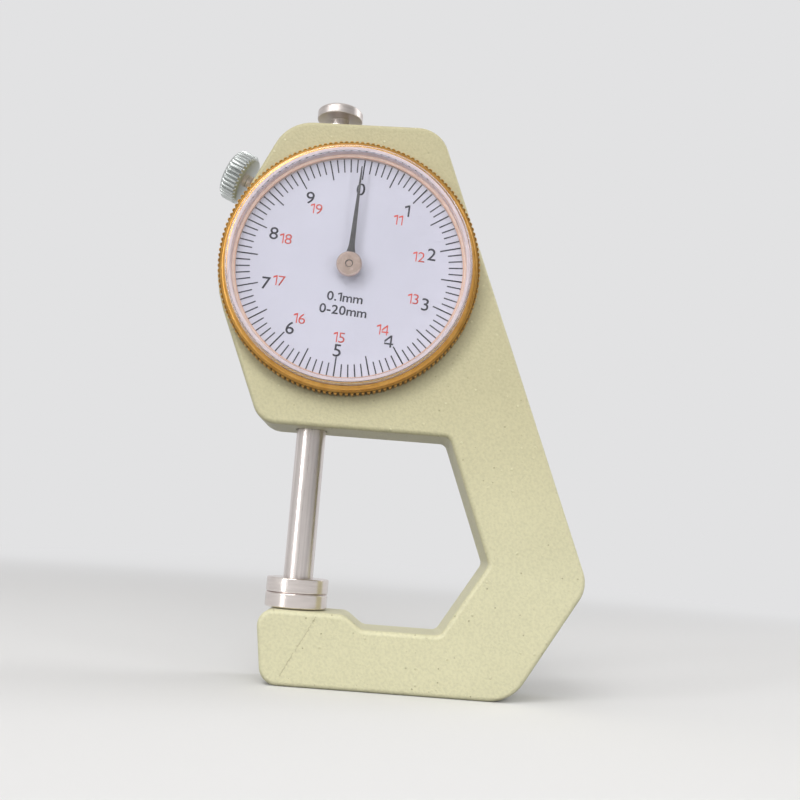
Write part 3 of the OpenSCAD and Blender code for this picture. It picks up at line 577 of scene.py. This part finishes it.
workedPieces = {
    "casting": {"node": "frame", "finish": enamel, "body": "frame", "slot": "frame_paint",
                "edges": {"smooth": 40}},
    "spindleRod": {"node": "spindle", "finish": metal["drawnSteel"], "body": "spindle",
                   "slot": "ground_steel", "edges": {"edgeRound": 0.08}},
    "upperDisc": {"node": "contact_disc", "finish": metal["groundSteel"], "body": "spindle",
                  "slot": "ground_steel", "edges": {"edgeRound": 0.05}},
    "lowerDisc": {"node": "anvil", "finish": metal["groundSteel"], "body": "frame", "slot": "ground_steel",
                  "edges": {"edgeRound": 0.05}},
    "liftKnob": {"node": "lift_knob", "finish": metal["turnedSteel"], "body": "spindle",
                 "slot": "turned_steel", "edges": {"edgeRound": 0.08}},
    "clampScrew": {"node": "clamp_screw", "finish": metal["brightNickel"], "body": "clamp_screw",
                   "slot": "nickel", "edges": {"edgeRound": 0.04}},
    "needle": {"node": "pointer", "finish": ink["needleGrey"], "body": "pointer", "slot": "pointer_grey",
               "edges": {"edgeRound": 0.05}},
    "needleHub": {"node": "pointer_hub", "finish": metal["nickelledBrass"], "body": "pointer",
                  "slot": "hub_bronze", "edges": {"edgeRound": 0.3, "segments": 4}},
    "goldBezel": {"node": "bezel", "finish": metal["goldAnodised"], "body": "bezel", "slot": "gold_anodised",
                  "edges": {"edgeRound": 0.03, "smooth": 30}},
}
for pieceName, row in workedPieces.items():
    worked = workedCopy(row["node"], pieceName, **row["edges"])
    dress(worked, row["finish"], row["body"], [row["node"]])


# the last turns of the clamp's thread, showing on its neck where it leaves the casting
clampThread = {
    "turns": 4, "pitch": 0.45, "root": 1.05, "crest": 1.22, "flank": 0.17, "steps": 40, "smooth": 30,
    "underHead": 5.75,
}


def makeClampThread():
    bpy.ops.object.select_all(action="DESELECT")
    bpy.ops.mesh.primitive_circle_add(
        vertices=3, radius=clampThread["flank"] * mm, fill_type="NGON",
        location=(clampThread["root"] * mm, 0, 0), rotation=(math.pi / 2, 0, 0))
    thread = bpy.context.object
    rename(thread, "clampThread")
    settle(thread)
    startEdit(thread, "FACE")
    bpy.ops.mesh.delete(type="ONLY_FACE")
    endEdit()
    crest = max(thread.data.vertices, key=lambda v: v.co.x)
    crest.co.x = clampThread["crest"] * mm
    winding = thread.modifiers.new("winding", "SCREW")
    winding.axis = "Z"
    winding.angle = 2 * math.pi
    winding.screw_offset = clampThread["pitch"] * mm
    winding.iterations = clampThread["turns"]
    winding.steps = clampThread["steps"]
    winding.render_steps = clampThread["steps"]
    applyAll(thread)
    startEdit(thread)
    mergeDoubles()
    # the two open ends are closed
    bpy.ops.mesh.select_all(action="DESELECT")
    bpy.ops.mesh.select_non_manifold()
    bpy.ops.mesh.fill()
    faceOutwards()
    endEdit()
    thread.rotation_euler = (0, clampLean, 0)
    thread.location = clampFoot + clampOut * (clampEnd - clampThread["underHead"] * mm)
    settle(thread)
    smoothBy(thread, clampThread["smooth"])
    dress(thread, metal["brightNickel"], "clamp_screw")


makeClampThread()
print("metal pieces worked")


# crystal: a clear plate with a round shoulder, over a rim that shows pale like the dial; the rim's pale tone
# is painted light, standing in for the lit dial seen through clear acrylic

crystal = {
    "steps": 240, "shoulder": 0.4, "shoulderSteps": 10, "plate": 0.9, "film": 0.03, "plateSmooth": 20,
    "wall": 0.95, "foot": 0.45, "footLap": 0.25, "rim": 0.95, "rise": 0.45, "cover": 0.25,
    "edgeRound": 0.06, "wallSmooth": 30,
    "ringWidth": 0.9, "lineWidth": 0.12, "lineHalf": 0.02,
}
crystalLow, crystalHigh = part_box("crystal")
ringLow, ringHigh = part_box("dial_ring")
ringInner = (ringHigh.x - ringLow.x) / 2 / mm - crystal["ringWidth"]
footR = (crystalHigh.x - crystalLow.x) / 2 / mm
footD = -crystalHigh.y / mm
topD = -crystalLow.y / mm
wallR = footR - crystal["footLap"]
wallInner = wallR - crystal["wall"]
plateD = topD - crystal["plate"]
rimD = footD + crystal["rim"]  # outside, the pale rim ends level with the bezel's lip
crestR = wallR - crystal["rise"]
crestD = topD - crystal["cover"]  # inside, it stands up into a groove under the plate


def makeCrystalPlate():
    film = crystal["film"]
    shoulder = crystal["shoulder"]
    count = crystal["shoulderSteps"]
    profile = [(0, plateD), (wallInner - film, plateD), (wallInner - film, crestD + film),
               (crestR + film, crestD + film), (wallR, rimD + film)]
    for k in range(count + 1):
        angle = math.pi / 2 * k / count
        profile.append((wallR - shoulder + shoulder * math.cos(angle),
                        topD - shoulder + shoulder * math.sin(angle)))
    profile.append((0, topD))
    piece = spunOnDial("crystalPlate", profile, crystal["steps"])
    smoothBy(piece, crystal["plateSmooth"])
    dress(piece, acrylic, "bezel", ["crystal"])


def makeCrystalWall():
    edge = crystal["edgeRound"]
    lap = footD + crystal["foot"]
    profile = [(wallInner, footD), (footR, footD), (footR, lap), (wallR, lap), (wallR, rimD),
               (crestR, crestD), (wallInner + edge, crestD), (wallInner, crestD - edge), (wallInner, footD)]
    piece = spunOnDial("crystalWall", profile, crystal["steps"])
    smoothBy(piece, crystal["wallSmooth"])
    dress(piece, ink["paintedRimLight"], "bezel")


# two fine rose gold lines, on the inner edges of the dial's ring and of the rim
def makeWallLines():
    low = footD - crystal["lineHalf"]
    high = footD + crystal["lineHalf"]
    rings = []
    for edge in (ringInner, wallInner):
        inner = edge - crystal["film"]
        outer = inner + crystal["lineWidth"]
        profile = [(inner, low), (outer, low), (outer, high), (inner, high), (inner, low)]
        rings.append(spunOnDial("wallLine", profile, crystal["steps"]))
    dress(joinPieces(rings, "wallLines"), ink["roseGoldLine"], "bezel")


makeCrystalPlate()
makeCrystalWall()
makeWallLines()
print("crystal spun")


# dial print: divisions, numbers and the scale's text

dialPrint = {
    "turn": 3.3, "thickness": 0.02, "merge": 0.0005, "flat": 1,
    "divisions": 100, "perLong": 5, "tickWidth": 0.21, "tickOuter": 18.48,
    "shortInner": 16.2, "longInner": 15.05,
    "numberStep": 36, "numberDrop": 0.3,
    "blackRadius": 13.7, "blackHeight": 2.0, "redRadius": 11.55, "redHeight": 1.68,
    "textHeight": 1.45, "textDrops": {"0.1mm": 5.17, "0-20mm": 7.37},
}


def printedOnDial(piece, name):
    startEdit(piece, "FACE")
    bpy.ops.mesh.remove_doubles(threshold=dialPrint["merge"] * mm)
    bpy.ops.mesh.dissolve_limited(angle_limit=math.radians(dialPrint["flat"]))
    bpy.ops.mesh.select_all(action="SELECT")
    extrudeBy((0, -dialPrint["thickness"] * mm, 0))
    faceOutwards()
    endEdit()
    rename(piece, name)
    return piece


def ringOfTicks(name, inner, count):
    length = dialPrint["tickOuter"] - inner
    middle = (dialX, dialFrontY, dialZ + (inner + length / 2) * mm)
    tick = standingBar(dialPrint["tickWidth"] * mm, length * mm, middle)
    startEdit(tick)
    bpy.ops.mesh.spin(steps=count, angle=2 * math.pi, dupli=True, center=dialCentre, axis=(0, 1, 0))
    endEdit()
    return printedOnDial(tick, name)


def turnOnDial(piece):
    onlySelect(piece)
    piece.location = dialCentre
    piece.rotation_euler = (0, math.radians(dialPrint["turn"]), 0)
    settle(piece)


# shares of a figure's height, apart from how far its outline is let out, its steps and its stretch
glyphs = {
    "thicken": 0.004, "heavy": 0.014, "fine": -0.004, "curveSteps": 5, "wide": 1.08, "gap": 0.10,
    "stem": 0.13, "stemGain": 4, "slack": 0.02,
    "flagFrom": 0.83, "flagReach": 0.27, "flagDrop": 0.13,
    "barFrom": 0.22, "slopeFrom": 0.80, "fourReach": 0.42,
}


def stemWidth(height, thicken):
    return (glyphs["stem"] + glyphs["stemGain"] * (thicken - glyphs["thicken"])) * height


# the figure one: a bar whose upper left edge is drawn out as a flag
def flaggedOne(height, thicken):
    stem = stemWidth(height, thicken)
    slack = glyphs["slack"] * height
    flagZ = glyphs["flagFrom"] * height
    one = standingBar(stem, height, (stem / 2, 0, height / 2))
    startEdit(one)
    bpy.ops.mesh.bisect(plane_co=(0, 0, flagZ), plane_no=(0, 0, 1))
    pickEdges(one, lambda end: end.x < stem / 2 and end.z > flagZ - slack)
    extrudeBy((-glyphs["flagReach"] * height, 0, -glyphs["flagDrop"] * height))
    endEdit()
    return one


# the figure four: an upright bar with the cross bar and the slope drawn out of its sides
def openFour(height, thicken):
    stem = stemWidth(height, thicken)
    slack = glyphs["slack"] * height
    left = glyphs["fourReach"] * height
    barLow = glyphs["barFrom"] * height
    barHigh = barLow + glyphs["stem"] * height
    slopeZ = glyphs["slopeFrom"] * height
    four = standingBar(stem, height, (stem / 2, 0, height / 2))
    startEdit(four)
    for level in (barLow, barHigh, slopeZ):
        bpy.ops.mesh.select_all(action="SELECT")
        bpy.ops.mesh.bisect(plane_co=(0, 0, level), plane_no=(0, 0, 1))

    def onBar(end):
        return barLow - slack < end.z < barHigh + slack

    pulls = (
        (lambda end: end.x < stem / 2 and onBar(end), (-left, 0, 0)),
        (lambda end: end.x > stem / 2 and onBar(end), (stem, 0, 0)),
        (lambda end: abs(end.x) < stem / 2 and end.z > slopeZ - slack, (-left, 0, barHigh - slopeZ)),
    )
    for holds, pull in pulls:
        pickEdges(four, holds)
        extrudeBy(pull)
    endEdit()
    return four


def boxOf(piece):
    corners = [v.co for v in piece.data.vertices]
    low = Vector([min(c[i] for c in corners) for i in range(3)])
    high = Vector([max(c[i] for c in corners) for i in range(3)])
    return low, high


def plainGlyph(sign, thicken):
    bpy.ops.object.select_all(action="DESELECT")
    bpy.ops.object.text_add(location=(0, 0, 0), rotation=(math.pi / 2, 0, 0))
    text = bpy.context.object
    text.data.body = sign
    text.data.offset = thicken
    text.data.resolution_u = glyphs["curveSteps"]
    bpy.ops.object.convert(target="MESH")
    glyph = bpy.context.object
    settle(glyph)
    return glyph


sample = plainGlyph("7", glyphs["thicken"])
figureHeight = boxOf(sample)[1].z
bpy.data.objects.remove(sample)


# signs are set side by side on one line, then scaled to the height of a figure and centred on a place in mm
def lettering(words, height, across, up, thicken):
    pieces = []
    cursor = 0
    for sign in words:
        drawn = {"1": flaggedOne, "4": openFour}.get(sign)
        piece = drawn(figureHeight, thicken) if drawn else plainGlyph(sign, thicken)
        low, high = boxOf(piece)
        piece.location = (cursor - low.x, 0, 0)
        settle(piece)
        cursor += high.x - low.x + glyphs["gap"] * figureHeight
        pieces.append(piece)
    line = joinPieces(pieces, "line")
    low, high = boxOf(line)
    ratio = height * mm / figureHeight
    wide = ratio * glyphs["wide"]
    line.scale = (wide, ratio, ratio)
    line.location = (across * mm - wide * (low.x + high.x) / 2, 0, (up - height / 2) * mm)
    settle(line)
    return line


def numbersOnRing(name, values, radius, height, thicken):
    pieces = []
    for value in values:
        angle = math.radians(dialPrint["numberStep"] * value)
        pieces.append(lettering(str(value), height, radius * math.sin(angle),
                                radius * math.cos(angle) - dialPrint["numberDrop"], thicken))
    group = joinPieces(pieces, name)
    turnOnDial(group)
    return printedOnDial(group, name)


shortTicks = ringOfTicks("shortTicks", dialPrint["shortInner"], dialPrint["divisions"])
longTicks = ringOfTicks("longTicks", dialPrint["longInner"], dialPrint["divisions"] // dialPrint["perLong"])
ticks = joinPieces([shortTicks, longTicks], "dialTicks")
startEdit(ticks)
bpy.ops.transform.rotate(value=-math.radians(dialPrint["turn"]), orient_axis="Y", center_override=dialCentre)
endEdit()
dress(ticks, ink["blackInk"], "bezel")
blackNumbers = numbersOnRing("blackNumbers", range(10), dialPrint["blackRadius"], dialPrint["blackHeight"],
                             glyphs["thicken"])
dress(blackNumbers, ink["blackInk"], "bezel")
redNumbers = numbersOnRing("redNumbers", range(11, 20), dialPrint["redRadius"], dialPrint["redHeight"],
                           glyphs["fine"])
dress(redNumbers, ink["redInk"], "bezel")
textLines = [lettering(words, dialPrint["textHeight"], 0, -drop, glyphs["heavy"])
             for words, drop in dialPrint["textDrops"].items()]
scaleText = joinPieces(textLines, "scaleText")
turnOnDial(scaleText)
dress(printedOnDial(scaleText, "scaleText"), ink["blackInk"], "bezel")
print("dial printed")


# finishes of the solids that stay as they are

kept = (
    (dialWhite, ("dial_plate",)),
    (ink["creamRing"], ("dial_ring",)),
    (metal["plainBrass"], ("upper_bush", "lower_bush", "movement_bridge", "rear_bush", "front_bush",
                           "guide_rail", "hairspring_stud", "hairspring_collet", "clamp_plug")),
    (metal["plainSteel"], ("bridge_screws", "rail_screws", "spring_post", "guide_pin", "spring_pin", "rack")),
    (metal["nickelledBrass"], ("pinion_arbor",)),
    (metal["springSteel"], ("return_spring", "hairspring", "snap_ring")),
)
for keptFinish, keptNodes in kept:
    for nodeName in keptNodes:
        nodes[nodeName].material_slots[0].material = keptFinish
print("inner pieces finished")


# pale floor with a curved backdrop

stage = {
    "half": 2.0, "back": 0.9, "height": 1.6, "curve": 0.5, "curveSteps": 16, "smooth": 60, "slack": 0.01,
    "paper": tint(226, 226, 226), "bounce": tint(134, 134, 134), "far": tint(226, 226, 227),
    "nearReach": 0.14, "farReach": 0.5, "roughness": 0.9, "gloss": 0.1,
}


# away from the part the paper is an even pale tone, near it it keeps the shadow
def makePaper():
    finish, shader = newFinish("palePaper", Roughness=stage["roughness"], Specular_IOR_Level=stage["gloss"])
    coords = addNode(finish, "TexCoord")
    reach = addNode(finish, "VectorMath", operation="LENGTH")
    link(finish, coords, "Object", reach, 0)
    fade = addNode(finish, "MapRange", interpolation_type="SMOOTHSTEP", From_Min=stage["nearReach"],
                   From_Max=stage["farReach"])
    link(finish, reach, "Value", fade, "Value")
    # seen by the camera, straight, mirrored or through the crystal, with no diffuse bounce before
    path = addNode(finish, "LightPath")
    mirrored = reckon(finish, "MAXIMUM", (path, "Is Camera Ray"), (path, "Is Glossy Ray"))
    through = reckon(finish, "MAXIMUM", (mirrored, 0), (path, "Is Transmission Ray"))
    straight = reckon(finish, "LESS_THAN", (path, "Diffuse Depth"), 0.5)
    seen = reckon(finish, "MULTIPLY", (through, 0), (straight, 0))
    share = reckon(finish, "MULTIPLY", (fade, "Result"), (seen, 0))
    # little of the lamps' light is thrown back up at the part
    tone = addNode(finish, "Mix", data_type="RGBA")
    tone.inputs[mixFirst].default_value = stage["bounce"]
    tone.inputs[mixSecond].default_value = stage["paper"]
    link(finish, seen, 0, tone, 0)
    link(finish, tone, mixResult, shader, "Base Color")
    glow = addNode(finish, "Emission", Color=stage["far"], Strength=1.0)
    mixShaders(finish, share, 0, shader, "BSDF", glow, "Emission", "Material Output")
    return finish


def makeStage():
    back = stage["back"] - stage["slack"]
    bpy.ops.object.select_all(action="DESELECT")
    bpy.ops.mesh.primitive_plane_add(size=2 * stage["half"], location=(0, stage["back"] - stage["half"], 0))
    sweep = bpy.context.object
    sweep.name = "paleSweep"
    settle(sweep)
    pickEdges(sweep, lambda end: end.y > back)
    extrudeBy((0, 0, stage["height"]))
    pickEdges(sweep, lambda end: end.y > back and abs(end.z) < stage["slack"])
    bpy.ops.mesh.bevel(offset=stage["curve"], segments=stage["curveSteps"])
    endEdit()
    smoothBy(sweep, stage["smooth"])
    sweep.data.materials.append(makePaper())


# soft studio light: the matt lamps leave no reflection

lampAim = Vector((0.01, 0, 0.05))
lamps = {
    "key": {"at": (-0.30, -0.81, 0.88), "wide": 0.50, "tall": 0.50, "watts": 4.4},
    "front": {"at": (0.10, -0.75, 0.40), "wide": 0.35, "tall": 0.35, "watts": 1.48, "matt": True},
    "strip": {"at": (-0.42, -0.40, 0.13), "wide": 0.09, "tall": 0.50, "watts": 1.2},
    "fill": {"at": (0.44, -0.42, 0.09), "wide": 0.13, "tall": 0.14, "watts": 0.6, "matt": True},
    "rim": {"at": (0.40, 0.10, 0.36), "wide": 0.22, "tall": 0.30, "watts": 0.6},
}


def makeLamps():
    for name, lamp in lamps.items():
        light = bpy.data.lights.new(name, "AREA")
        light.shape = "RECTANGLE"
        light.size = lamp["wide"]
        light.size_y = lamp["tall"]
        light.energy = lamp["watts"]
        holder = bpy.data.objects.new(name, light)
        bpy.context.scene.collection.objects.link(holder)
        holder.location = lamp["at"]
        holder.rotation_euler = (lampAim - Vector(lamp["at"])).to_track_quat("-Z", "Y").to_euler()
        holder.visible_transmission = False  # the crystal already lets the lamps' light in
        holder.visible_glossy = not lamp.get("matt")


room = {"low": 0.42, "high": 0.8, "climbFrom": -0.2, "rightShade": 0.5, "shadeFrom": 0.1,
        "tone": (1, 0.985, 0.97, 1)}


# a soft room, brighter overhead and darker on the right
def makeWorld():
    world = bpy.data.worlds.new("softRoom")
    bpy.context.scene.world = world
    world.use_nodes = True
    coords = addNode(world, "TexCoord")
    split = addNode(world, "SeparateXYZ")
    link(world, coords, "Generated", split, 0)
    climb = addNode(world, "MapRange", From_Min=room["climbFrom"], To_Min=room["low"], To_Max=room["high"])
    link(world, split, "Z", climb, "Value")
    side = addNode(world, "MapRange", From_Min=room["shadeFrom"], To_Min=1.0, To_Max=room["rightShade"])
    link(world, split, "X", side, "Value")
    level = reckon(world, "MULTIPLY", (climb, 0), (side, 0))
    around = world.node_tree.nodes["Background"]
    around.inputs["Color"].default_value = room["tone"]
    link(world, level, 0, around, "Strength")
    # the camera itself sees an even pale surround
    path = addNode(world, "LightPath")
    pale = addNode(world, "Background", Color=stage["far"])
    mixShaders(world, path, "Is Camera Ray", around, 0, pale, 0, "World Output")


# the photograph's viewpoint, in mm and degrees
view = {"at": (12.634, -153.350, 22.666), "turn": (98.982, -4.370, -1.311), "lens": 41.594, "sensor": 36,
        "clipNear": 5, "clipFar": 20000}


def makeCamera():
    camera = bpy.data.cameras.new("photoCamera")
    camera.sensor_width = view["sensor"]
    camera.lens = view["lens"]
    camera.clip_start = view["clipNear"] * mm
    camera.clip_end = view["clipFar"] * mm
    holder = bpy.data.objects.new("photoCamera", camera)
    bpy.context.scene.collection.objects.link(holder)
    holder.location = Vector(view["at"]) * mm
    holder.rotation_euler = [math.radians(angle) for angle in view["turn"]]
    bpy.context.scene.camera = holder


makeStage()
makeLamps()
makeWorld()
makeCamera()
bpy.context.scene.view_settings.view_transform = "Standard"
print("stage, lamps and camera placed")
